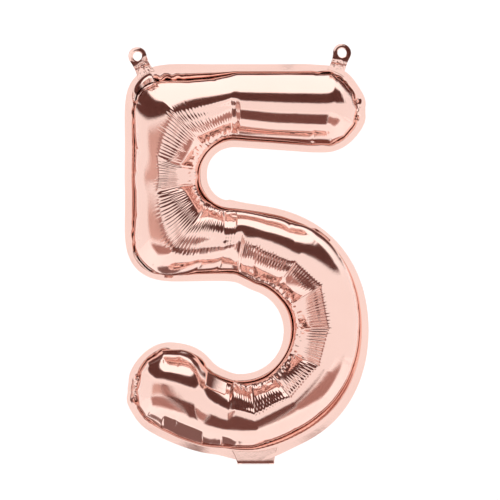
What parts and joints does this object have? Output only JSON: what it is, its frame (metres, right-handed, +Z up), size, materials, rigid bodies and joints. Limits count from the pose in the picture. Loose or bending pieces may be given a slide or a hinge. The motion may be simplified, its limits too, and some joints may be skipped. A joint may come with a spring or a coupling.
{
  "type": "foil number balloon",
  "caption": "Inflated foil balloon in the shape of the numeral 5, with a flat welded margin, hang tabs with punched holes and a folded fill neck.",
  "frame": {"origin": "centre of the left hang tab's hole, in the plane where the two foils are welded", "axes": "+Z up along the height of the numeral, -Y out of its front, +X to the right as seen from the front"},
  "size_m": [0.2144, 0.081, 0.3697],
  "materials": {
    "foil_front": "polished rose gold foil",
    "foil_back": "polished rose gold foil",
    "foil_tab": "polished rose gold foil",
    "foil_neck": "polished rose gold foil",
    "valve_film": "clear film"
  },
  "bodies": {
    "envelope": {"front_panel": "foil_front", "back_panel": "foil_back"},
    "left_tab": {"left_hang_tab": "foil_tab"},
    "right_tab": {"right_hang_tab": "foil_tab"},
    "fill_neck": {"neck_front_film": "foil_neck", "neck_back_film": "foil_neck", "neck_valve_front": "valve_film", "neck_valve_back": "valve_film"},
    "front_valve": {"valve_front_film": "valve_film"},
    "back_valve": {"valve_back_film": "valve_film"}
  },
  "joints": [
    {"name": "left_tab_fold", "type": "hinge", "parent": "envelope", "child": "left_tab", "pos_m": [0.00462, 0, -0.01269], "axis": [0.9397, 0, 0.342], "range_deg": [-80, 80], "stiffness_Nm_per_rad": 0.0001},
    {"name": "right_tab_fold", "type": "hinge", "parent": "envelope", "child": "right_tab", "pos_m": [0.17766, 0, -0.0103], "axis": [0.9848, 0, -0.1736], "range_deg": [-80, 80], "stiffness_Nm_per_rad": 0.0001},
    {"name": "neck_fold", "type": "hinge", "parent": "envelope", "child": "fill_neck", "pos_m": [0.104, 0, -0.3578], "axis": [1, 0, 0], "range_deg": [-150, 4], "stiffness_Nm_per_rad": 0.0003},
    {"name": "front_valve_open", "type": "hinge", "parent": "envelope", "child": "front_valve", "pos_m": [0.104, -0.0002, -0.34], "axis": [1, 0, 0], "range_deg": [0, 6], "stiffness_Nm_per_rad": 0.0003},
    {"name": "back_valve_open", "type": "hinge", "parent": "envelope", "child": "back_valve", "pos_m": [0.104, 0.0002, -0.34], "axis": [1, 0, 0], "range_deg": [-6, 0], "stiffness_Nm_per_rad": 0.0003}
  ],
  "couplings": [
    {"joint": "back_valve_open", "follows": "front_valve_open", "ratio": -1}
  ]
}
